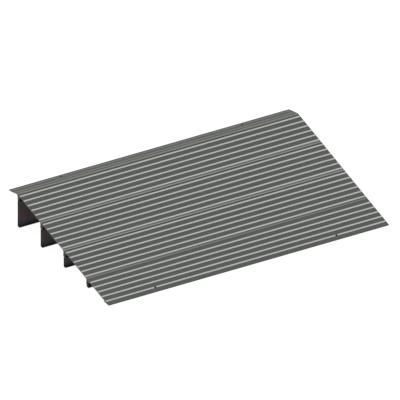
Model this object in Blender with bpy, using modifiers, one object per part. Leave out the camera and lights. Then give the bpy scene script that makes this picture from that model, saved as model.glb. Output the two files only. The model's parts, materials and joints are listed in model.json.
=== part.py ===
"""Modular threshold ramp in extruded aluminium, 36 in wide, for a rise of about 4 in.

Metres, +Z up. X runs along the width, -Y points to the toe and +Y to the landing. The origin is on
the ground under the middle of the ramp's footprint at rest.

Every plank is one extrusion along X. Its upper edge carries a round bead on a neck, and under that a
channel for a leg. The lower edge of the piece above wraps the bead like a hook, and so makes a
knuckle. The planks' knuckles are locked by a flange behind the leg channel. The top knuckle belongs
to the transition plate and is left open enough underneath to be a hinge.
"""

import bmesh
import bpy
from math import acos, asin, ceil, cos, degrees, pi, radians, sin, sqrt
from mathutils import Vector

# Whole ramp
WIDTH = 0.9144
SLOPE = radians(11.4)
CLEARANCE = 0.0003

# Deck surface
LAND_PITCH = 0.0222
LAND_WIDTH = 0.0060
LAND_HEIGHT = 0.0006
LAND_SHOULDER = 0.0003
GROOVE_PITCH = 0.0026
GROOVE_WIDTH = 0.0013
GROOVE_DEPTH = 0.0003
DECK_THICKNESS = 0.0028

# Planks, counted from the landing down; the toe plank comes after the standard ones
STANDARD_PLANKS = 3
LANDS_PER_PLANK = 6
FIRST_LAND = 0.01255
SEAM_PITCH = 0.0226
TOE_LENGTH = 0.12625
TOE_LAND_SETBACK = 0.01775
TOE_LIP = 0.0018
TOE_TIP_RADIUS = 0.0009
TOE_FOOT = 0.026

# Knuckle joint between neighbours
BEAD_RADIUS = 0.0023
NECK_WIDTH = 0.0016
SOCKET_WALL = 0.0016
NOSE_WRAP = radians(42.0)
FLANGE_THICKNESS = 0.0018

# Leg channel under each bead
CHANNEL_WALL = 0.0020
CHANNEL_WEB = 0.0020
CHANNEL_DEPTH = 0.0100

# Legs
LEG_THICKNESS = 0.0107
LEG_WALL = 0.0022
LEG_CELL = 0.045
LEG_CORNER_RADIUS = 0.0004
CORNER_RADIUS = 0.0008

# Transition plate
PLATE_REACH = 0.0530
PLATE_THICKNESS = 0.0026
PLATE_EDGE = 0.0014
PLATE_EDGE_RADIUS = 0.0005
PLATE_TAPER = 0.012
PLATE_FIRST_LAND = 0.0149
PLATE_DROOP = radians(13.3)
PLATE_LIFT = radians(30.0)

# Anchor holes
HOLE_DIAMETER = 0.0065
HOLE_INSET = 0.1617

# Leg screws
SCREWS_PER_LEG = 3
SCREW_INSET = 0.060
SCREW_DIAMETER = 0.0042
SCREW_BITE = 0.0048
SCREW_POINT = 0.0016
HEAD_DIAMETER = 0.0082
HEAD_HEIGHT = 0.0026
HEAD_RIM = 0.0009
HEAD_CROWN_DIAMETER = 0.0041
HEAD_SHOULDER_DIAMETER = 0.0066
HEAD_SHOULDER_HEIGHT = 0.0021
SOCKET_ACROSS_FLATS = 0.0025
SOCKET_DEPTH = 0.0013

# Surfaces: name, colour, roughness, metallic
DECK_SURFACE = ("ribbed_aluminium", (0.30, 0.305, 0.295), 0.45, 0.9)
PLATE_SURFACE = ("plate_aluminium", (0.38, 0.385, 0.37), 0.42, 0.9)
LEG_SURFACE = ("mill_aluminium", (0.22, 0.21, 0.21), 0.5, 0.9)
SCREW_SURFACE = ("zinc_plated_steel", (0.55, 0.56, 0.57), 0.35, 1.0)

# Facets
ARC_STEP = radians(20.0)
HOLE_SIDES = 24
SCREW_SIDES = 12
SHARP_ANGLE = radians(31.0)
WELD_DISTANCE = 1e-6

# Sizes that follow
PLANK_PITCH = (LANDS_PER_PLANK - 1) * LAND_PITCH + SEAM_PITCH
SEAMS = STANDARD_PLANKS + 1
BORE_RADIUS = BEAD_RADIUS + CLEARANCE
KNUCKLE_RADIUS = BORE_RADIUS + SOCKET_WALL
POCKET_RADIUS = KNUCKLE_RADIUS + CLEARANCE
DECK_TOP = KNUCKLE_RADIUS - LAND_HEIGHT
DECK_UNDERSIDE = DECK_TOP - DECK_THICKNESS
NECK_SIDE = NECK_WIDTH / 2
LIP_SIDE = NECK_SIDE + CLEARANCE
LEG_BACK = -NECK_SIDE
LEG_FRONT = LEG_BACK + LEG_THICKNESS
FLANGE_BACK = -LIP_SIDE - FLANGE_THICKNESS
WEB_TOP = -KNUCKLE_RADIUS - CLEARANCE
WEB_BOTTOM = WEB_TOP - CHANNEL_WEB
CHANNEL_FOOT = WEB_BOTTOM - CHANNEL_DEPTH
SCREW_HEIGHT = WEB_BOTTOM - CHANNEL_DEPTH / 2
TONGUE_BACK = LEG_BACK + CHANNEL_WALL + CLEARANCE


def tilted(point, angle):
    """The point given in level axes, in the axes of a piece that falls towards the toe by the angle."""
    across, up = point
    return Vector((across * cos(angle) - up * sin(angle), across * sin(angle) + up * cos(angle)))


def plumb(across, up):
    """A point measured level and upright from a knuckle, in the plank's sloping axes."""
    return tilted((across, up), SLOPE)


def plumb_at(across, height):
    """The point of a plumb line that lies at this height in the plank's sloping axes."""
    return plumb(across, (height - across * sin(SLOPE)) / cos(SLOPE))


def arc(radius, start, end, centre=Vector((0.0, 0.0))):
    """Points along an arc from one angle to the other, both ends included."""
    steps = max(2, ceil(abs(end - start) / ARC_STEP))
    angles = [start + (end - start) * i / steps for i in range(steps + 1)]
    return [centre + radius * Vector((cos(a), sin(a))) for a in angles]


def fillet(before, corner, after, radius=CORNER_RADIUS):
    """Points that round one corner of an outline, within half of its shorter side."""
    to_before = (before - corner).normalized()
    to_after = (after - corner).normalized()
    half = acos(max(-1.0, min(1.0, to_before.dot(to_after)))) / 2
    room = min((before - corner).length, (after - corner).length) / 2
    reach = min(radius / abs(sin(half) / cos(half)), room)
    centre_distance = reach / cos(half)
    centre = corner + (to_before + to_after).normalized() * centre_distance
    start = corner + to_before * reach
    end = corner + to_after * reach
    middle = centre + (corner - centre).normalized() * (start - centre).length
    return [start, middle, end]


def rounded(corners, radius=CORNER_RADIUS):
    """The closed outline through the corners, with each of them rounded."""
    points = []
    for i, corner in enumerate(corners):
        points += fillet(corners[i - 1], corner, corners[(i + 1) % len(corners)], radius)
    return points


def grooved_valley(start, end):
    """V grooves side by side, centred in a stretch of valley; the two ends are left out."""
    count = int((end - start) / GROOVE_PITCH)
    first = (start + end) / 2 - (count - 1) * GROOVE_PITCH / 2
    points = []
    for i in range(count):
        x = first + i * GROOVE_PITCH
        points.append(Vector((x - GROOVE_WIDTH / 2, DECK_TOP)))
        points.append(Vector((x, DECK_TOP - GROOVE_DEPTH)))
        points.append(Vector((x + GROOVE_WIDTH / 2, DECK_TOP)))
    return points


def land_row(first, last):
    """Centres of lands a pitch apart, as many as lie between the first and the last place."""
    count = int((last - first) / LAND_PITCH) + 1
    return [first + i * LAND_PITCH for i in range(count)]


def plank_lands():
    """Distances of a standard plank's lands from its own knuckle."""
    return [FIRST_LAND + i * LAND_PITCH for i in range(LANDS_PER_PLANK)]


def toe_lands():
    """Distances of the toe plank's lands from its knuckle, set out from the tip upwards."""
    from_tip = land_row(TOE_LAND_SETBACK, TOE_LENGTH - FIRST_LAND)
    return [TOE_LENGTH - distance for distance in reversed(from_tip)]


def plate_lands():
    """Distances of the transition plate's lands behind the hinge."""
    return land_row(PLATE_FIRST_LAND, PLATE_REACH - LAND_WIDTH)


def raised_lands(start, end, centres):
    """The walking surface from start to end, with raised flat lands and grooves between them."""
    points = [Vector((start, DECK_TOP))]
    edge = start
    for centre in centres:
        foot = centre - LAND_WIDTH / 2
        edge_after = centre + LAND_WIDTH / 2
        points += grooved_valley(edge, foot)
        points.append(Vector((foot, DECK_TOP)))
        points.append(Vector((foot + LAND_SHOULDER, DECK_TOP + LAND_HEIGHT)))
        points.append(Vector((edge_after - LAND_SHOULDER, DECK_TOP + LAND_HEIGHT)))
        points.append(Vector((edge_after, DECK_TOP)))
        edge = edge_after
    points += grooved_valley(edge, end)
    return points


def bead_and_channel():
    """A plank's upper edge, from the deck's underside round to the top of its rounded nose."""
    inner_front = LEG_FRONT - CHANNEL_WALL
    inner_back = LEG_BACK + CHANNEL_WALL
    neck_angle = asin(NECK_SIDE / BEAD_RADIUS)
    neck_foot = plumb(LEG_BACK, WEB_TOP)
    bead = arc(BEAD_RADIUS, 3 * pi / 2 - neck_angle + SLOPE, -pi / 2 + neck_angle + SLOPE)
    haunch = plumb_at(LEG_FRONT, DECK_UNDERSIDE)
    pocket_top = plumb_at(inner_front, DECK_UNDERSIDE)
    pocket_foot = plumb(inner_front, WEB_TOP)
    nose = arc(POCKET_RADIUS, 0.0, NOSE_WRAP)
    points = fillet(haunch + Vector((LEG_THICKNESS, 0.0)), haunch, plumb(LEG_FRONT, CHANNEL_FOOT))
    points.append(plumb(LEG_FRONT, CHANNEL_FOOT))
    points.append(plumb(inner_front, CHANNEL_FOOT))
    points.append(plumb(inner_front, WEB_BOTTOM))
    points.append(plumb(inner_back, WEB_BOTTOM))
    points.append(plumb(inner_back, CHANNEL_FOOT))
    points.append(plumb(LEG_BACK, CHANNEL_FOOT))
    points.append(neck_foot)
    points += bead
    points += fillet(bead[-1], plumb(NECK_SIDE, WEB_TOP), pocket_foot)
    points += fillet(plumb(NECK_SIDE, WEB_TOP), pocket_foot, pocket_top)
    points += fillet(pocket_foot, pocket_top, nose[0])
    points += nose
    return points


def hook_back(start, underside, centre=Vector((0.0, 0.0))):
    """The back of a hook, from an angle round and straight up into the fillet under its plate."""
    end = pi - min(0.0, asin(underside / KNUCKLE_RADIUS))
    points = arc(KNUCKLE_RADIUS, start, end, centre)
    if underside > 0.0:
        side = points[-1]
        corner = Vector((side.x, centre.y + underside))
        points += fillet(side, corner, corner - Vector((KNUCKLE_RADIUS, 0.0)))
    return points


def locked_socket(centre):
    """A plank's lower edge: the hook that wraps the next bead, and its flange behind the channel."""
    top_angle = pi - asin(DECK_TOP / KNUCKLE_RADIUS)
    front_outer = -pi / 2 + asin(LIP_SIDE / KNUCKLE_RADIUS) + SLOPE
    front_inner = -pi / 2 + asin(LIP_SIDE / BORE_RADIUS) + SLOPE
    back_inner = 3 * pi / 2 - asin(LIP_SIDE / BORE_RADIUS) + SLOPE
    flange_angle = acos(max(-1.0, FLANGE_BACK / KNUCKLE_RADIUS))
    back_outer = 2 * pi - flange_angle + SLOPE
    points = arc(KNUCKLE_RADIUS, top_angle, front_outer, centre)
    points += arc(BORE_RADIUS, front_inner, back_inner, centre)
    points.append(centre + plumb(-LIP_SIDE, CHANNEL_FOOT))
    points.append(centre + plumb(FLANGE_BACK, CHANNEL_FOOT))
    points += hook_back(back_outer, DECK_UNDERSIDE, centre)
    return points


def standard_plank_outline():
    """The whole section of a plank that hooks onto a further one."""
    centre = Vector((PLANK_PITCH, 0.0))
    meets_socket = PLANK_PITCH - sqrt(KNUCKLE_RADIUS ** 2 - DECK_TOP ** 2)
    deck = raised_lands(POCKET_RADIUS, meets_socket, plank_lands())
    return bead_and_channel() + deck + locked_socket(centre)


def toe_plank_outline():
    """The section of the last plank, which runs out in a wedge that rests on the ground."""
    tip = Vector((TOE_LENGTH, DECK_TOP))
    ground_front = tip + plumb(0.0, -TOE_LIP)
    ground_back = ground_front + plumb(-TOE_FOOT, 0.0)
    step = ground_back + plumb(0.0, (DECK_UNDERSIDE - ground_back.y) / cos(SLOPE))
    deck = raised_lands(POCKET_RADIUS, TOE_LENGTH, toe_lands())
    wedge = fillet(deck[-1], tip, ground_front, TOE_TIP_RADIUS)
    wedge.append(ground_front)
    wedge.append(ground_back)
    wedge += fillet(ground_back, step, step - Vector((TOE_FOOT, 0.0)))
    return bead_and_channel() + deck + wedge


def transition_plate_outline():
    """The hinged plate in its own axes: the hook at the origin, the free edge behind it at -X."""
    rest = 3 * pi / 2 - PLATE_DROOP
    inner = asin(LIP_SIDE / BORE_RADIUS)
    outer = asin(LIP_SIDE / KNUCKLE_RADIUS)
    underside = DECK_TOP - PLATE_THICKNESS
    lands = [-distance for distance in reversed(plate_lands())]
    tip = Vector((-PLATE_REACH, DECK_TOP))
    edge = Vector((-PLATE_REACH, DECK_TOP - PLATE_EDGE))
    taper = Vector((-PLATE_REACH + PLATE_TAPER, underside))
    meets_hook = -sqrt(KNUCKLE_RADIUS ** 2 - DECK_TOP ** 2)
    top = raised_lands(-PLATE_REACH, meets_hook, lands)
    top_angle = pi - asin(DECK_TOP / KNUCKLE_RADIUS)
    points = fillet(edge, tip, top[1], PLATE_EDGE_RADIUS) + top[1:]
    points += arc(KNUCKLE_RADIUS, top_angle, rest + PLATE_LIFT + outer - 2 * pi)
    points += arc(BORE_RADIUS, rest + PLATE_LIFT + inner - 2 * pi, rest - inner)
    points += hook_back(rest - outer, underside)
    points.append(taper)
    points += fillet(taper, edge, tip, PLATE_EDGE_RADIUS)
    return points


def leg_outline(shoulder):
    """A leg standing on its foot: the body up to its shoulders, and the tongue that enters the channel."""
    back = 0.0
    front = LEG_THICKNESS
    tongue_back = TONGUE_BACK - LEG_BACK
    tongue_front = front - tongue_back
    tongue_top = shoulder + CHANNEL_DEPTH
    corners = [(back, 0.0), (front, 0.0), (front, shoulder), (tongue_front, shoulder),
               (tongue_front, tongue_top), (tongue_back, tongue_top), (tongue_back, shoulder),
               (back, shoulder)]
    return rounded([Vector(c) for c in corners], LEG_CORNER_RADIUS)


def leg_cells(shoulder):
    """The hollow cells inside a leg, stacked with a web between them; a low leg is solid."""
    hollow = shoulder - 2 * LEG_WALL
    if hollow < LEG_THICKNESS:
        return []
    count = ceil(hollow / LEG_CELL)
    height = (hollow - (count - 1) * LEG_WALL) / count
    cells = []
    for i in range(count):
        low = LEG_WALL + i * (height + LEG_WALL)
        left = LEG_WALL
        right = LEG_THICKNESS - LEG_WALL
        corners = [(left, low), (right, low), (right, low + height), (left, low + height)]
        cells.append(rounded([Vector(c) for c in corners]))
    return cells


def material(name, colour, roughness, metallic):
    """One plain surface."""
    made = bpy.data.materials.new(name)
    made.use_nodes = True
    shader = made.node_tree.nodes["Principled BSDF"]
    shader.inputs["Base Color"].default_value = (*colour, 1.0)
    shader.inputs["Roughness"].default_value = roughness
    shader.inputs["Metallic"].default_value = metallic
    return made


def collection(name):
    """A collection of this name in the scene."""
    made = bpy.data.collections.new(name)
    bpy.context.scene.collection.children.link(made)
    return made


def join_caps(work):
    """Makes each flat end of a section without hollows one face."""
    for side in (-1.0, 1.0):
        cap = [face for face in work.faces
               if abs(face.normal.z) > 0.5 and face.calc_center_median().z * side > 0.0]
        bmesh.ops.dissolve_faces(work, faces=cap, use_verts=False)


def extrusion(name, outlines, length, home):
    """A mesh object: the outlines filled and drawn out to the length, centred on local Z."""
    curve = bpy.data.curves.new(name, "CURVE")
    curve.dimensions = "2D"
    curve.fill_mode = "BOTH"
    curve.extrude = length / 2
    for outline in outlines:
        spline = curve.splines.new("POLY")
        spline.points.add(len(outline) - 1)
        for point, corner in zip(spline.points, outline):
            point.co = (corner.x, corner.y, 0.0, 1.0)
        spline.use_cyclic_u = True
    drawn = bpy.data.objects.new(name + "_curve", curve)
    home.objects.link(drawn)
    bpy.context.view_layer.update()
    graph = bpy.context.evaluated_depsgraph_get()
    mesh = bpy.data.meshes.new_from_object(drawn.evaluated_get(graph))
    solid = bpy.data.objects.new(name, mesh)
    solid.matrix_world = drawn.matrix_world
    home.objects.link(solid)
    bpy.data.objects.remove(drawn)
    bpy.data.curves.remove(curve)
    work = bmesh.new()
    work.from_mesh(mesh)
    bmesh.ops.remove_doubles(work, verts=work.verts, dist=WELD_DISTANCE)
    if len(outlines) == 1:
        join_caps(work)
    bmesh.ops.recalc_face_normals(work, faces=work.faces)
    work.to_mesh(mesh)
    work.free()
    return solid


def rod(name, radius, length, sides, home):
    """A plain cylinder along local Z, centred on its origin."""
    mesh = bpy.data.meshes.new(name)
    work = bmesh.new()
    bmesh.ops.create_cone(work, cap_ends=True, segments=sides, radius1=radius, radius2=radius, depth=length)
    work.to_mesh(mesh)
    work.free()
    made = bpy.data.objects.new(name, mesh)
    home.objects.link(made)
    return made


def hide_tool(tool):
    """Keeps a cutter out of the render and draws it as wire."""
    tool.hide_render = True
    tool.display_type = "WIRE"


def cut(solid, tool):
    """Takes the tool out of the solid with an exact Boolean."""
    hide_tool(tool)
    modifier = solid.modifiers.new(tool.name, "BOOLEAN")
    modifier.operation = "DIFFERENCE"
    modifier.solver = "EXACT"
    modifier.object = tool


def shade_round(mesh):
    """Smooth on round stretches and sharp at the edges of the section."""
    mesh.shade_smooth()
    mesh.set_sharp_from_angle(angle=SHARP_ANGLE)


def place_profile(solid, across, height, slope):
    """Stands a section upright along X, its origin this far towards the toe and this high."""
    solid.location = (0.0, toe_side(across), height)
    solid.rotation_euler = (pi / 2, slope, -pi / 2)


def toe_side(across):
    """World Y of a distance towards the toe from the first knuckle."""
    return FIRST_KNUCKLE_Y - across


def toe_tip_offset():
    """The toe's tip seen from the toe plank's knuckle: how far forward, and how far down to the ground."""
    forward = TOE_LENGTH * cos(SLOPE) + DECK_TOP * sin(SLOPE)
    down = TOE_LENGTH * sin(SLOPE) - DECK_TOP * cos(SLOPE) + TOE_LIP
    return forward, down


def plate_reach_back():
    """How far the drooping plate reaches behind the first knuckle."""
    return PLATE_REACH * cos(PLATE_DROOP) + DECK_TOP * sin(PLATE_DROOP)


STEP_FORWARD = PLANK_PITCH * cos(SLOPE)
STEP_DOWN = PLANK_PITCH * sin(SLOPE)
TOE_FORWARD, TOE_DOWN = toe_tip_offset()
FRONT_REACH = STANDARD_PLANKS * STEP_FORWARD + TOE_FORWARD
FIRST_KNUCKLE_Y = (FRONT_REACH - plate_reach_back()) / 2


def knuckle(seam):
    """How far forward and how high the axis of a seam's knuckle is."""
    return seam * STEP_FORWARD, TOE_DOWN + (STANDARD_PLANKS - seam) * STEP_DOWN


def screw_positions():
    """X of each screw along a leg."""
    span = WIDTH - 2 * SCREW_INSET
    return [-span / 2 + span * i / (SCREWS_PER_LEG - 1) for i in range(SCREWS_PER_LEG)]


def hole_positions():
    """X of the two anchor holes of an edge."""
    x = WIDTH / 2 - HOLE_INSET
    return [-x, x]


def screw_seat(seam):
    """Level distance from the knuckle to the face under the screw heads: the flange, or the channel."""
    return FLANGE_BACK if seam else LEG_BACK


def screw_length(seam):
    """From under the head to the point."""
    return TONGUE_BACK + SCREW_BITE - screw_seat(seam)


def screw_hole_tools(name, centre, slope, home):
    """Cutters for one seam's screw holes, in the axes of a section whose knuckle is at the centre."""
    reach = TONGUE_BACK + SCREW_BITE + CLEARANCE
    start = FLANGE_BACK - SCREW_BITE
    middle = centre + tilted(((start + reach) / 2, SCREW_HEIGHT), slope)
    tools = []
    for i, x in enumerate(screw_positions()):
        tool = rod(f"{name}_{i}", SCREW_DIAMETER / 2 + CLEARANCE, reach - start, SCREW_SIDES, home)
        tool.location = (middle.x, middle.y, -x)
        tool.rotation_euler = (0.0, pi / 2, slope)
        tools.append(tool)
    return tools


def anchor_hole_tools(name, centre, slope, home):
    """Cutters for an edge's two anchor holes, plumb once the section lies at the slope.

    They reach further down than the wedge is deep, which is always less than its foot is long.
    """
    tools = []
    for i, x in enumerate(hole_positions()):
        tool = rod(f"{name}_{i}", HOLE_DIAMETER / 2, TOE_FOOT * 2, HOLE_SIDES, home)
        tool.location = (centre.x, centre.y, -x)
        tool.rotation_euler = (pi / 2, 0.0, slope)
        tools.append(tool)
    return tools


def finished_mesh(solid, tools):
    """The solid's mesh with the tools cut out of it; the working objects go."""
    for tool in tools:
        cut(solid, tool)
    bpy.context.view_layer.update()
    graph = bpy.context.evaluated_depsgraph_get()
    mesh = bpy.data.meshes.new_from_object(solid.evaluated_get(graph))
    shade_round(mesh)
    bpy.data.objects.remove(solid)
    return mesh


def add_part(name, mesh, surface, home):
    """One named piece of the ramp."""
    made = bpy.data.objects.new(name, mesh)
    if not mesh.materials:
        mesh.materials.append(surface)
    home.objects.link(made)
    return made


def make_planks(home, tools, surface):
    """The standard planks, alike and each hooked onto the next."""
    blank = extrusion("plank_blank", [standard_plank_outline()], WIDTH, tools)
    cutters = screw_hole_tools("channel_hole", Vector((0.0, 0.0)), SLOPE, tools)
    cutters += screw_hole_tools("flange_hole", Vector((PLANK_PITCH, 0.0)), SLOPE, tools)
    mesh = finished_mesh(blank, cutters)
    for i in range(STANDARD_PLANKS):
        plank = add_part(f"deck_plank_{i + 1}", mesh, surface, home)
        across, height = knuckle(i)
        place_profile(plank, across, height, SLOPE)


def make_toe_plank(home, tools, surface):
    """The lowest plank, with its anchor holes."""
    blank = extrusion("toe_blank", [toe_plank_outline()], WIDTH, tools)
    last_land = Vector((toe_lands()[-1], DECK_TOP))
    cutters = screw_hole_tools("toe_channel_hole", Vector((0.0, 0.0)), SLOPE, tools)
    cutters += anchor_hole_tools("toe_anchor_hole", last_land, SLOPE, tools)
    toe = add_part("toe_plank", finished_mesh(blank, cutters), surface, home)
    across, height = knuckle(STANDARD_PLANKS)
    place_profile(toe, across, height, SLOPE)


def make_transition_plate(home, tools, surface):
    """The hinged plate at its lower stop, its origin on the hinge axis."""
    blank = extrusion("plate_blank", [transition_plate_outline()], WIDTH, tools)
    last_land = Vector((-plate_lands()[-1], DECK_TOP))
    cutters = anchor_hole_tools("plate_anchor_hole", last_land, 0.0, tools)
    plate = add_part("transition_plate", finished_mesh(blank, cutters), surface, home)
    across, height = knuckle(0)
    place_profile(plate, across, height, -PLATE_DROOP)


def make_legs(home, tools, surface):
    """One leg in each plank's channel, from the tallest at the landing to the toe plank's low foot."""
    for seam in range(SEAMS):
        across, height = knuckle(seam)
        shoulder = height + CHANNEL_FOOT - CLEARANCE
        outlines = [leg_outline(shoulder)] + leg_cells(shoulder)
        blank = extrusion(f"leg_blank_{seam}", outlines, WIDTH, tools)
        axis = Vector((-LEG_BACK, height))
        cutters = screw_hole_tools(f"leg_hole_{seam}", axis, 0.0, tools)
        leg = add_part(f"support_leg_{seam + 1}", finished_mesh(blank, cutters), surface, home)
        place_profile(leg, across + LEG_BACK, 0.0, 0.0)


def screw_mesh(length, tools):
    """A button-head screw along local Z with its head under the origin, and a hexagonal socket."""
    shank = SCREW_DIAMETER / 2
    head = HEAD_DIAMETER / 2
    profile = [(0.0, length), (shank, length - SCREW_POINT), (shank, 0.0), (head, 0.0),
               (head, -HEAD_RIM), (HEAD_SHOULDER_DIAMETER / 2, -HEAD_SHOULDER_HEIGHT),
               (HEAD_CROWN_DIAMETER / 2, -HEAD_HEIGHT), (0.0, -HEAD_HEIGHT)]
    mesh = bpy.data.meshes.new("screw_profile")
    work = bmesh.new()
    corners = [work.verts.new((x, 0.0, z)) for x, z in profile]
    for a, b in zip(corners, corners[1:]):
        work.edges.new((a, b))
    work.to_mesh(mesh)
    work.free()
    blank = bpy.data.objects.new("screw_blank", mesh)
    tools.objects.link(blank)
    turned = blank.modifiers.new("turned", "SCREW")
    turned.steps = SCREW_SIDES
    turned.render_steps = SCREW_SIDES
    turned.use_merge_vertices = True
    turned.merge_threshold = WELD_DISTANCE
    key = rod("hex_key", SOCKET_ACROSS_FLATS / sqrt(3.0), SOCKET_DEPTH * 2, 6, tools)
    key.location = (0.0, 0.0, -HEAD_HEIGHT)
    return finished_mesh(blank, [key])


def make_leg_screws(home, tools, surface):
    """The screws that tie each leg into its channel, driven from behind."""
    channel_screw = screw_mesh(screw_length(0), tools)
    flange_screw = screw_mesh(screw_length(1), tools)
    for seam in range(SEAMS):
        across, height = knuckle(seam)
        for i, x in enumerate(screw_positions()):
            mesh = flange_screw if seam else channel_screw
            screw = add_part(f"leg_screw_{seam + 1}_{i + 1}", mesh, surface, home)
            under_head = across + screw_seat(seam) - CLEARANCE
            screw.location = (x, toe_side(under_head), height + SCREW_HEIGHT)
            screw.rotation_euler = (pi / 2, 0.0, 0.0)


def print_facts():
    """The places that a drawing of the ramp would state."""
    across, height = knuckle(0)
    print(f"hinge axis at Y {toe_side(across):.5f}, Z {height:.5f}; lift {degrees(PLATE_LIFT):.1f} degrees")
    for seam in range(SEAMS):
        across, height = knuckle(seam)
        middle = across + LEG_BACK + LEG_THICKNESS / 2
        print(f"leg {seam + 1} foot at Y {toe_side(middle):.5f}, knuckle at Z {height:.5f}")
    print(f"toe tip at Y {toe_side(FRONT_REACH):.5f}")


def main():
    """Clears the scene and makes the ramp, piece by piece."""
    for old in list(bpy.data.objects):
        bpy.data.objects.remove(old)
    ramp = collection("threshold_ramp")
    tools = collection("cutters")
    deck_surface = material(*DECK_SURFACE)
    make_transition_plate(ramp, tools, material(*PLATE_SURFACE))
    make_planks(ramp, tools, deck_surface)
    make_toe_plank(ramp, tools, deck_surface)
    make_legs(ramp, tools, material(*LEG_SURFACE))
    make_leg_screws(ramp, tools, material(*SCREW_SURFACE))
    print_facts()


main()
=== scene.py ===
"""Finishes, studio and camera for the modular threshold ramp.

Metres, +Z up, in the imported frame: X runs along the width, -Y points to the toe and +Y to the landing.
"""

import json
from math import cos, radians, sin

import bpy
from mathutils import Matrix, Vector


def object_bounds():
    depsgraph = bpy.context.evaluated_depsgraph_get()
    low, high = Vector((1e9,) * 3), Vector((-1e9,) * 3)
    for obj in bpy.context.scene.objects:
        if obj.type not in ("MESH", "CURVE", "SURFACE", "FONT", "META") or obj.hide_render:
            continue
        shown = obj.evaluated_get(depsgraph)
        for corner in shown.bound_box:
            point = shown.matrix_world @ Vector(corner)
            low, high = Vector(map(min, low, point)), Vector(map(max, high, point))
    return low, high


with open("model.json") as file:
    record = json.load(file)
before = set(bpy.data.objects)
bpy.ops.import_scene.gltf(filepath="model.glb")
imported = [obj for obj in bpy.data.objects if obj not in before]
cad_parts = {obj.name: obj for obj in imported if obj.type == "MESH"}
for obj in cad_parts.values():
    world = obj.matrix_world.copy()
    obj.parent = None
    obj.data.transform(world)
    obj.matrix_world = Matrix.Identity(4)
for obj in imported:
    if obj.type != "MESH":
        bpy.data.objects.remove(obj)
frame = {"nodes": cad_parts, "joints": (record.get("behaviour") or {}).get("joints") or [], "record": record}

CAD_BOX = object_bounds()


def rgb(red, green, blue):
    return (red, green, blue, 1.0)


# View of the photograph: parallel projection, this many metres across the square frame
CAMERA_AZIMUTH = radians(29.83)
CAMERA_ELEVATION = radians(30.05)
FRAME_WIDTH = 1.1318
AIM_RIGHT = 0.00334
AIM_UP = 0.01554
CAMERA_DISTANCE = 4.0

# Directions on the ramp
SLOPE = radians(11.4)
PLATE_DROOP = radians(13.3)
ORIGIN = Vector((0.0, 0.0, 0.0))
HINGE = Vector(frame["joints"][0]["pos_m"])
ACROSS = Vector((1.0, 0.0, 0.0))
LANDWARD = Vector((0.0, 1.0, 0.0))
UP = Vector((0.0, 0.0, 1.0))
DECK_NORMAL = Vector((0.0, -sin(SLOPE), cos(SLOPE)))
DOWNHILL = Vector((0.0, -cos(SLOPE), -sin(SLOPE)))
PLATE_NORMAL = Vector((0.0, sin(PLATE_DROOP), cos(PLATE_DROOP)))
PLATE_BACK = Vector((0.0, cos(PLATE_DROOP), -sin(PLATE_DROOP)))

# Section of the extrusions: heights over the hinge's axis, square to the deck or the plate. A pair, here and
# below, says where a finish starts and where it is complete. The skins are those of the walking side.
GROOVE_FLOOR = 0.0033
DECK_TOP = 0.0036
LAND_TOP = 0.0042
GROOVE_FLANK = (DECK_TOP - 0.00002, GROOVE_FLOOR)
LAND_FLANK = (DECK_TOP + 0.00025, LAND_TOP - 0.0001)
DECK_SKIN = (0.0022, 0.0028)
PLATE_SKIN = (0.0016, 0.0022)
CHANNEL_TOP = (-0.003, -0.008)

# Strips along each seam, down the slope from the middle of its knuckle: start, end and softness. The strip
# of the first gap and the pair that only the last seam lies past are measured from the hinge.
PLANK_PITCH = 0.1336
NEAR_SEAM = (-0.0063, 0.0046, 0.0002)
KNUCKLE_STRIP = (-0.0025, 0.0024, 0.0005)
GAP_STRIP = (0.0025, 0.0055, 0.0003)
FIRST_GAP_STRIP = (0.0025, 0.0070, 0.0005)
LAST_SEAM_START = (2.50 * PLANK_PITCH, 2.51 * PLANK_PITCH)

# Strips along the plate, from the hinge's axis towards the free edge
PLATE_NOSE = (-0.0036, -0.0039)
PLATE_KNUCKLE_END = (0.0042, 0.0034)
PLATE_EDGE = (0.031, 0.038)

# Distances from the middle of an anchor hole that still belong to its wall
HOLE_RADIUS = 0.00325
HOLE_WALL = (HOLE_RADIUS + 0.0002, HOLE_RADIUS + 0.0001)

# Heights over the ground: the top of the painted contact shade, where its bluish tint starts and is complete,
# and how far patches move its edge up and down
FOOT_SHADE_TOP = 0.020
SHADED_FOOT_REACH = (0.033, 0.015)
SHADE_EDGE_WOBBLE = 0.003

# How squarely a face looks along a line before it counts as facing that way
SQUARE_ON = (0.90, 0.97)

# Patterns, in waves per metre. Those of die lines are along X, Y and Z, and those of strokes and saw marks
# along them and across them.
FINE_LINES = (2.5, 1500.0, 1500.0)
BROAD_LINES = (1.2, 260.0, 260.0)
FINE_LINES_SHARE = 0.55
DECK_CLOUDS = 16.0
LEG_CLOUDS = 22.0
STROKES = (55.0, 2600.0)
STROKE_PATCHES = 38.0
SAW_MARKS = (90.0, 3800.0)
SAW_SLANT = 0.35
ZINC_GRAIN = 1400.0
ZINC_BLOTCHES = 320.0

# Values of a noise between which a stroke, a patch of strokes or a blotch fades in
STROKE_FADE = (0.60, 0.70)
STROKE_PATCH_FADE = (0.48, 0.62)
BLOTCH_FADE = (0.40, 0.65)

# Deck colours
GROOVE_DIRT = rgb(0.052, 0.052, 0.048)
VALLEY = rgb(0.1153, 0.1220, 0.1133)
LAND = rgb(0.470, 0.481, 0.464)
SHOULDER = rgb(0.134, 0.139, 0.131)
KNUCKLE = rgb(0.270, 0.278, 0.266)
LAST_KNUCKLE = rgb(0.200, 0.206, 0.197)
SEAM_GAP = rgb(0.040, 0.041, 0.039)
LAST_GAP = rgb(0.085, 0.089, 0.083)

# Transition plate colours
PLATE = rgb(0.1165, 0.1210, 0.1065)
PLATE_LAND = rgb(0.183, 0.190, 0.171)
PLATE_KNUCKLE = rgb(0.203, 0.209, 0.191)

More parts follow.
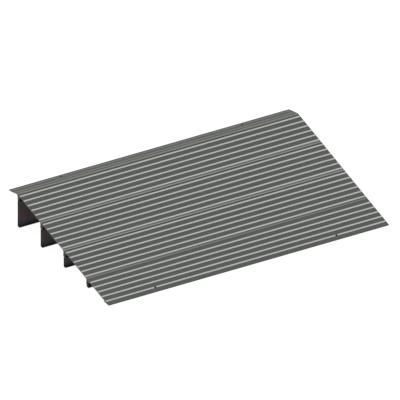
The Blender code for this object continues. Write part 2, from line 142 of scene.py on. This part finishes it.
# Colours away from the walking side
MILL = rgb(0.260, 0.250, 0.245)
SAWN = rgb(0.240, 0.236, 0.230)
# Walls of the anchor holes: dark with painted shade
HOLE_SHADE = rgb(0.070, 0.070, 0.066)
# Front and side faces of the legs: darker and warmer than the rear, a painted shade of the bays under the
# deck
LEG = rgb(0.262, 0.226, 0.226)
# Rear faces of the legs: lighter than the front, painted light
LEG_REAR_LIT = rgb(0.330, 0.327, 0.316)
# Sawn ends of the legs: dark with painted shade
LEG_SAWN_SHADED = rgb(0.080, 0.069, 0.070)
# Bluish tint of the painted contact shade at the foot of the legs
FOOT_SHADE_TINT = rgb(0.72, 0.98, 1.10)
ZINC = rgb(0.52, 0.53, 0.54)
PASSIVATED = rgb(0.50, 0.49, 0.42)
WHITE = rgb(1.0, 1.0, 1.0)

# Factors on a colour. A pair holds those at the two ends of a pattern that runs from 0 to 1.
LINE_TONES = (0.84, 1.16)
LAND_TONES = (0.93, 1.07)
LEG_TONES = (0.90, 1.10)
SAWN_TONES = (0.70, 1.30)
GRAIN_TONES = (0.82, 1.12)
FIRST_GAP_TONE = 0.70
PLATE_EDGE_TONE = 0.93
# Factor of painted shade on the plank's channel and the faces below it, under the deck
CHANNEL_SHADE_TONE = 0.20
# Darkest factor of the painted contact shade, at the ground
FOOT_SHADE_DARKEST = 0.03
# How much weaker that painted contact shade is on the legs' rear faces
REAR_FOOT_SHADE_POWER = 0.15

# Shares of a surface that dirt covers in the grooves, and that scratches dull on the walking side
DIRT_COVER = (0.30, 0.75)
LAND_WEAR = 0.22
PLATE_WEAR = 0.15

# Roughness: of valley and land on deck and plate, over a pattern on legs and zinc, then what is added to it.
# How metallic each metal is follows.
DECK_ROUGHNESS = (0.50, 0.34)
PLATE_ROUGHNESS = (0.48, 0.40)
LEG_ROUGHNESS = (0.42, 0.54)
ZINC_ROUGHNESS = (0.26, 0.42)
PATCH_ROUGHNESS = (-0.04, 0.06)
SAWN_ROUGHNESS = (-0.06, 0.10)
FOOT_ROUGHNESS = 0.12
ALUMINIUM_METALLIC = 0.85
ZINC_METALLIC = 1.0

# Fine relief: its depth, and how much of it the light shows
LINE_RELIEF = (0.00003, 0.5)
SCRATCH_RELIEF = (0.00001, 0.3)
GRAIN_RELIEF = (0.00001, 0.4)

# Floor
FLOOR_SIZE = 12.0
FLOOR_DROP = 0.0004
FLOOR_COLOUR = rgb(0.15, 0.15, 0.15)
FLOOR_ROUGHNESS = 0.9
FLOOR_GLOW = 0.94

# Light by the direction it comes from, whose parts upwards and towards the landing run from -1 to 1
LOW_LIGHT = rgb(0.105, 0.080, 0.080)
HORIZON = (-0.20, 0.08)
REAR_GLOW = 0.80
REAR_GLOW_REACH = (0.40, 0.75)

# Places of the colour sockets on a Mix node, whose names aren't unique
MIX_FACTOR = 0
MIX_LOW = 6
MIX_HIGH = 7
MIX_COLOUR = 2


class NodeTree:
    """Nodes built by short calls. Each input takes a plain value or another node's output."""

    def __init__(self, tree):
        self.tree = tree

    def feed(self, socket, value):
        if isinstance(value, bpy.types.NodeSocket):
            self.tree.links.new(value, socket)
        else:
            socket.default_value = value

    def node(self, kind, *inputs, output=0, **settings):
        """One output of a new node. Its inputs come in the node's own order, and None skips one."""
        made = self.tree.nodes.new(kind)
        for name, value in settings.items():
            setattr(made, name, value)
        for socket, value in zip(made.inputs, inputs):
            if value is not None:
                self.feed(socket, value)
        return made.outputs[output]

    def maths(self, operation, *inputs):
        return self.node("ShaderNodeMath", *inputs, operation=operation)

    def dot(self, vector, direction):
        return self.node("ShaderNodeVectorMath", vector, direction, operation="DOT_PRODUCT", output="Value")

    def position(self):
        return self.node("ShaderNodeTexCoord", output="Object")

    def normal(self):
        return self.node("ShaderNodeTexCoord", output="Normal")

    def measure(self, direction, origin):
        """Distance of a surface point from the origin, along a direction."""
        return self.maths("SUBTRACT", self.dot(self.position(), direction), direction.dot(origin))

    def spread(self, value, low, high):
        """A value between 0 and 1 laid out between two others."""
        return self.node("ShaderNodeMapRange", value, 0.0, 1.0, low, high)

    def step(self, value, low, high):
        """Smooth rise from 0 at low to 1 at high; falls instead where low is the larger."""
        return self.node("ShaderNodeMapRange", value, low, high, 0.0, 1.0, interpolation_type="SMOOTHSTEP")

    def band(self, value, start, end, soft):
        """1 between start and end, with edges that soft."""
        rise = self.step(value, start - soft / 2, start + soft / 2)
        return self.maths("MULTIPLY", rise, self.step(value, end + soft / 2, end - soft / 2))

    def noise(self, vector, scale=1.0, detail=2.0, roughness=0.5):
        return self.node("ShaderNodeTexNoise", vector, None, scale, detail, roughness)

    def stretched(self, scales):
        """The position, scaled unevenly so that a noise on it runs out in streaks."""
        return self.node("ShaderNodeVectorMath", self.position(), scales, operation="MULTIPLY")

    def slanted(self, along, across, per_along, per_across):
        """Two directions as a noise's coordinates, so that its streaks run along the first."""
        first = self.maths("MULTIPLY", self.dot(self.position(), along), per_along)
        second = self.maths("MULTIPLY", self.dot(self.position(), across), per_across)
        return self.node("ShaderNodeCombineXYZ", first, second, 0.0)

    def blend(self, factor, low, high, blend_type="MIX"):
        """A colour between two others, or another mixture of them."""
        mix = self.tree.nodes.new("ShaderNodeMix")
        mix.data_type = "RGBA"
        mix.blend_type = blend_type
        for place, value in ((MIX_FACTOR, factor), (MIX_LOW, low), (MIX_HIGH, high)):
            self.feed(mix.inputs[place], value)
        return mix.outputs[MIX_COLOUR]

    def tone(self, colour, factor):
        """A colour made darker or lighter by a factor."""
        return self.blend(1.0, colour, factor, "MULTIPLY")


class Recipe(NodeTree):
    """A material with its Principled shader."""

    def __init__(self, name):
        self.material = bpy.data.materials.new(name)
        self.material.use_nodes = True
        super().__init__(self.material.node_tree)
        self.shader = self.tree.nodes["Principled BSDF"]

    def bump(self, height, depth, strength, before=None):
        """The normal of a relief, laid over an earlier one where there is one."""
        made = self.tree.nodes.new("ShaderNodeBump")
        made.inputs["Strength"].default_value = strength
        made.inputs["Distance"].default_value = depth
        self.feed(made.inputs["Height"], height)
        if before is not None:
            self.feed(made.inputs["Normal"], before)
        return made.outputs["Normal"]

    def finish(self, colour, roughness, metallic, normal=None):
        self.feed(self.shader.inputs["Base Color"], colour)
        self.feed(self.shader.inputs["Roughness"], roughness)
        self.shader.inputs["Metallic"].default_value = metallic
        if normal is not None:
            self.feed(self.shader.inputs["Normal"], normal)
        return self.material


def opening_middle(name):
    """Middle of an opening that the record states."""
    opening = next(o for o in frame["record"]["physics"]["openings"] if o["name"] == name)
    low, high = (Vector(corner) for corner in opening["box_m"])
    return (low + high) / 2


def hole_wall(m, middle, along):
    """1 on the wall of either anchor hole of an edge. Along is the direction square to hole and width."""
    side = m.maths("SUBTRACT", m.maths("ABSOLUTE", m.measure(ACROSS, ORIGIN)), abs(middle.x))
    offset = m.node("ShaderNodeCombineXYZ", side, m.measure(along, middle), 0.0)
    distance = m.node("ShaderNodeVectorMath", offset, operation="LENGTH", output="Value")
    return m.step(distance, *HOLE_WALL)


def die_lines(m):
    """Fine and broad streaks that the extrusion die leaves along the width, from 0 to 1."""
    fine = m.noise(m.stretched(FINE_LINES), detail=3.0, roughness=0.6)
    broad = m.noise(m.stretched(BROAD_LINES))
    rest = m.maths("MULTIPLY", broad, 1.0 - FINE_LINES_SHARE)
    return m.maths("MULTIPLY_ADD", fine, FINE_LINES_SHARE, rest)


def clouds(m, per_metre):
    """Slow patches of dulled and cleaner metal, from 0 to 1."""
    return m.noise(m.position(), per_metre, detail=3.0, roughness=0.55)


def scratches(m, along, across):
    """1 on sparse fine scratches that run along one direction."""
    strokes = m.noise(m.slanted(along, across, *STROKES), detail=1.5)
    patches = m.noise(m.position(), STROKE_PATCHES, detail=1.0)
    return m.maths("MULTIPLY", m.step(strokes, *STROKE_FADE), m.step(patches, *STROKE_PATCH_FADE))


def foot_shade(m, height):
    """Factor of painted contact shade: almost black at the ground, fading to none at its top."""
    return m.node("ShaderNodeMapRange", height, 0.0, FOOT_SHADE_TOP, FOOT_SHADE_DARKEST, 1.0)


def grooved(m, height, patches, metal):
    """Metal with dirt on the floor of its grooves, thicker in some patches."""
    cover = m.maths("MULTIPLY", m.step(height, *GROOVE_FLANK), m.spread(patches, *DIRT_COVER))
    return m.blend(cover, metal, GROOVE_DIRT)


def sawn_end(m, base, roughness, lines, cut=SAWN):
    """Turns the cut ends of an extrusion into sawn metal; returns colour, roughness and relief."""
    end = m.step(m.maths("ABSOLUTE", m.dot(m.normal(), ACROSS)), *SQUARE_ON)
    cut_along = (UP + LANDWARD * SAW_SLANT).normalized()
    cut_across = (LANDWARD - UP * SAW_SLANT).normalized()
    marks = m.noise(m.slanted(cut_along, cut_across, *SAW_MARKS), roughness=0.55)
    base = m.blend(end, base, m.tone(cut, m.spread(marks, *SAWN_TONES)))
    roughness = m.maths("MULTIPLY_ADD", end, m.spread(marks, *SAWN_ROUGHNESS), roughness)
    relief = m.maths("MULTIPLY_ADD", end, m.maths("SUBTRACT", marks, lines), lines)
    return base, roughness, relief


def deck_material():
    """Ribbed planks: dull grooved valleys, bright worn lands, and a plainer knuckle at each seam."""
    m = Recipe("ribbed_aluminium")
    lines = die_lines(m)
    patches = clouds(m, DECK_CLOUDS)
    height = m.measure(DECK_NORMAL, HINGE)
    downhill = m.measure(DOWNHILL, HINGE)
    from_seam = m.maths("WRAP", downhill, PLANK_PITCH / 2, -PLANK_PITCH / 2)
    last = m.step(downhill, *LAST_SEAM_START)
    near_seam = m.band(from_seam, *NEAR_SEAM)
    land = m.maths("MULTIPLY", m.step(height, *LAND_FLANK), m.maths("SUBTRACT", 1.0, near_seam))
    wear = m.maths("MULTIPLY", scratches(m, DOWNHILL, ACROSS), land)
    base = grooved(m, height, patches, VALLEY)
    base = m.blend(near_seam, base, SHOULDER)
    base = m.blend(m.band(from_seam, *KNUCKLE_STRIP), base, m.blend(last, KNUCKLE, LAST_KNUCKLE))
    base = m.blend(m.band(from_seam, *GAP_STRIP), base, m.blend(last, SEAM_GAP, LAST_GAP))
    base = m.tone(base, m.spread(m.band(downhill, *FIRST_GAP_STRIP), 1.0, FIRST_GAP_TONE))
    base = m.blend(land, base, m.tone(LAND, m.spread(patches, *LAND_TONES)))
    base = m.blend(m.maths("MULTIPLY", wear, LAND_WEAR), base, SHOULDER)
    base = m.blend(m.step(height, *DECK_SKIN), MILL, base)
    base = m.tone(base, m.spread(lines, *LINE_TONES))
    # Painted shade on the walls of the toe's anchor holes
    base = m.blend(hole_wall(m, opening_middle("toe_anchor_hole_right"), LANDWARD), base, HOLE_SHADE)
    roughness = m.maths("ADD", m.spread(land, *DECK_ROUGHNESS), m.spread(patches, *PATCH_ROUGHNESS))
    base, roughness, relief = sawn_end(m, base, roughness, lines)
    # Painted shade under the deck on the channel and the faces below it, darkest near the ground
    painted_channel_shade = m.maths("MULTIPLY", foot_shade(m, m.measure(UP, ORIGIN)), CHANNEL_SHADE_TONE)
    base = m.tone(base, m.blend(m.step(height, *CHANNEL_TOP), WHITE, painted_channel_shade))
    normal = m.bump(wear, *SCRATCH_RELIEF, before=m.bump(relief, *LINE_RELIEF))
    return m.finish(base, roughness, ALUMINIUM_METALLIC, normal)


def plate_material():
    """The hinged plate: the same ribbing, hardly worn, with a duller and slightly yellower skin."""
    m = Recipe("plate_aluminium")
    lines = die_lines(m)
    patches = clouds(m, DECK_CLOUDS)
    height = m.measure(PLATE_NORMAL, HINGE)
    behind = m.measure(PLATE_BACK, HINGE)
    raised = m.step(height, *LAND_FLANK)
    wear = m.maths("MULTIPLY", scratches(m, PLATE_BACK, ACROSS), PLATE_WEAR)
    base = grooved(m, height, patches, PLATE)
    base = m.blend(raised, base, m.tone(PLATE_LAND, m.spread(patches, *LAND_TONES)))
    base = m.blend(m.step(behind, *PLATE_KNUCKLE_END), base, PLATE_KNUCKLE)
    base = m.blend(wear, base, PLATE_KNUCKLE)
    base = m.blend(m.step(behind, *PLATE_NOSE), base, SEAM_GAP)
    base = m.tone(base, m.spread(m.step(behind, *PLATE_EDGE), 1.0, PLATE_EDGE_TONE))
    base = m.blend(m.step(height, *PLATE_SKIN), MILL, base)
    base = m.tone(base, m.spread(lines, *LINE_TONES))
    # Painted shade on the walls of the plate's anchor holes
    base = m.blend(hole_wall(m, opening_middle("plate_anchor_hole_right"), PLATE_BACK), base, HOLE_SHADE)
    roughness = m.maths("ADD", m.spread(raised, *PLATE_ROUGHNESS), m.spread(patches, *PATCH_ROUGHNESS))
    base, roughness, relief = sawn_end(m, base, roughness, lines)
    return m.finish(base, roughness, ALUMINIUM_METALLIC, m.bump(relief, *LINE_RELIEF))


def leg_material():
    """Mill-finish legs, warmer and duller than the deck; painted shade on the front, sides and sawn ends,
    painted light on the rear faces, and painted contact shade almost black at the foot.
    """
    m = Recipe("leg_aluminium")
    lines = die_lines(m)
    patches = clouds(m, LEG_CLOUDS)
    wobbled_height = m.maths("ADD", m.measure(UP, ORIGIN), m.spread(patches, -SHADE_EDGE_WOBBLE, SHADE_EDGE_WOBBLE))
    rear = m.step(m.dot(m.normal(), LANDWARD), *SQUARE_ON)
    # Band of bluish painted contact shade at the foot, not on the rear faces; it is also rougher
    shaded_foot_band = m.maths("MULTIPLY", m.step(wobbled_height, *SHADED_FOOT_REACH), m.maths("SUBTRACT", 1.0, rear))
    # Painted contact shade darkening the foot to almost black, weaker on the rear faces
    painted_foot_shade = m.maths("POWER", foot_shade(m, wobbled_height), m.spread(rear, 1.0, REAR_FOOT_SHADE_POWER))
    # Darker warmer front and sides with painted shade, lighter rear faces with painted light
    base = m.tone(m.blend(rear, LEG, LEG_REAR_LIT), m.spread(patches, *LEG_TONES))
    base = m.tone(base, m.spread(lines, *LINE_TONES))
    # Sawn ends dark with painted shade
    base, roughness, relief = sawn_end(m, base, m.spread(patches, *LEG_ROUGHNESS), lines, LEG_SAWN_SHADED)
    base = m.tone(m.tone(base, m.blend(shaded_foot_band, WHITE, FOOT_SHADE_TINT)), painted_foot_shade)
    roughness = m.maths("MULTIPLY_ADD", shaded_foot_band, FOOT_ROUGHNESS, roughness)
    return m.finish(base, roughness, ALUMINIUM_METALLIC, m.bump(relief, *LINE_RELIEF))


def screw_material():
    """Zinc-plated steel, blotched a little by its passivation."""
    m = Recipe("zinc_plated_steel")
    grain = m.noise(m.position(), ZINC_GRAIN, detail=3.0, roughness=0.6)
    blotches = m.step(m.noise(m.position(), ZINC_BLOTCHES, detail=1.0), *BLOTCH_FADE)
    base = m.tone(m.blend(blotches, ZINC, PASSIVATED), m.spread(grain, *GRAIN_TONES))
    return m.finish(base, m.spread(grain, *ZINC_ROUGHNESS), ZINC_METALLIC, m.bump(grain, *GRAIN_RELIEF))


def dress(nodes, surface):
    """Gives the finish to every node whose name starts with one of these."""
    for name, node in frame["nodes"].items():
        if name.startswith(nodes):
            node.data.materials.clear()
            node.data.materials.append(surface)


def make_floor():
    """A plain pale floor under the ramp, so bright that hardly a shadow shows on it. It lights nothing."""
    bpy.ops.mesh.primitive_plane_add(size=FLOOR_SIZE, location=(0.0, 0.0, -FLOOR_DROP))
    floor = bpy.context.object
    floor.name = "studio_floor"
    m = Recipe("pale_floor")
    floor.data.materials.append(m.finish(FLOOR_COLOUR, FLOOR_ROUGHNESS, 0.0))
    m.shader.inputs["Specular IOR Level"].default_value = 0.0
    m.shader.inputs["Emission Color"].default_value = WHITE
    m.shader.inputs["Emission Strength"].default_value = FLOOR_GLOW
    floor.visible_diffuse = False
    floor.visible_glossy = False


def make_world():
    """White light from above the horizon, dim warm light from below it, paler behind, on a white backdrop."""
    world = bpy.data.worlds.new("studio")
    world.use_nodes = True
    bpy.context.scene.world = world
    w = NodeTree(world.node_tree)
    direction = w.node("ShaderNodeTexCoord", output="Generated")
    landward = w.node("ShaderNodeSeparateXYZ", direction, output="Y")
    upward = w.node("ShaderNodeSeparateXYZ", direction, output="Z")
    light = w.blend(w.node("ShaderNodeMapRange", upward, *HORIZON, 0.0, 1.0), LOW_LIGHT, WHITE)
    glow = w.node("ShaderNodeMapRange", landward, *REAR_GLOW_REACH, 0.0, REAR_GLOW)
    studio = w.tree.nodes["Background"]
    w.feed(studio.inputs["Color"], w.blend(1.0, light, glow, "LIGHTEN"))
    backdrop = w.node("ShaderNodeBackground", WHITE)
    seen = w.node("ShaderNodeLightPath", output="Is Camera Ray")
    either = w.node("ShaderNodeMixShader", seen, studio.outputs["Background"], backdrop)
    w.feed(w.tree.nodes["World Output"].inputs["Surface"], either)


def make_camera():
    """A parallel view at the photograph's angle and scale."""
    low, high = CAD_BOX
    back = Vector((-sin(CAMERA_AZIMUTH) * cos(CAMERA_ELEVATION),
                   -cos(CAMERA_AZIMUTH) * cos(CAMERA_ELEVATION), sin(CAMERA_ELEVATION)))
    right = Vector((cos(CAMERA_AZIMUTH), -sin(CAMERA_AZIMUTH), 0.0))
    up = back.cross(right)
    aim = (low + high) / 2 + right * AIM_RIGHT + up * AIM_UP
    data = bpy.data.cameras.new("camera")
    data.type = "ORTHO"
    data.ortho_scale = FRAME_WIDTH
    camera = bpy.data.objects.new("camera", data)
    camera.location = aim + back * CAMERA_DISTANCE
    camera.rotation_mode = "QUATERNION"
    camera.rotation_quaternion = (-back).to_track_quat("-Z", "Y")
    bpy.context.scene.collection.objects.link(camera)
    bpy.context.scene.camera = camera


make_camera()
make_world()
make_floor()
dress(("deck_plank", "toe_plank"), deck_material())
dress("transition_plate", plate_material())
dress("support_leg", leg_material())
dress("leg_screw", screw_material())
bpy.context.scene.view_settings.view_transform = "Standard"
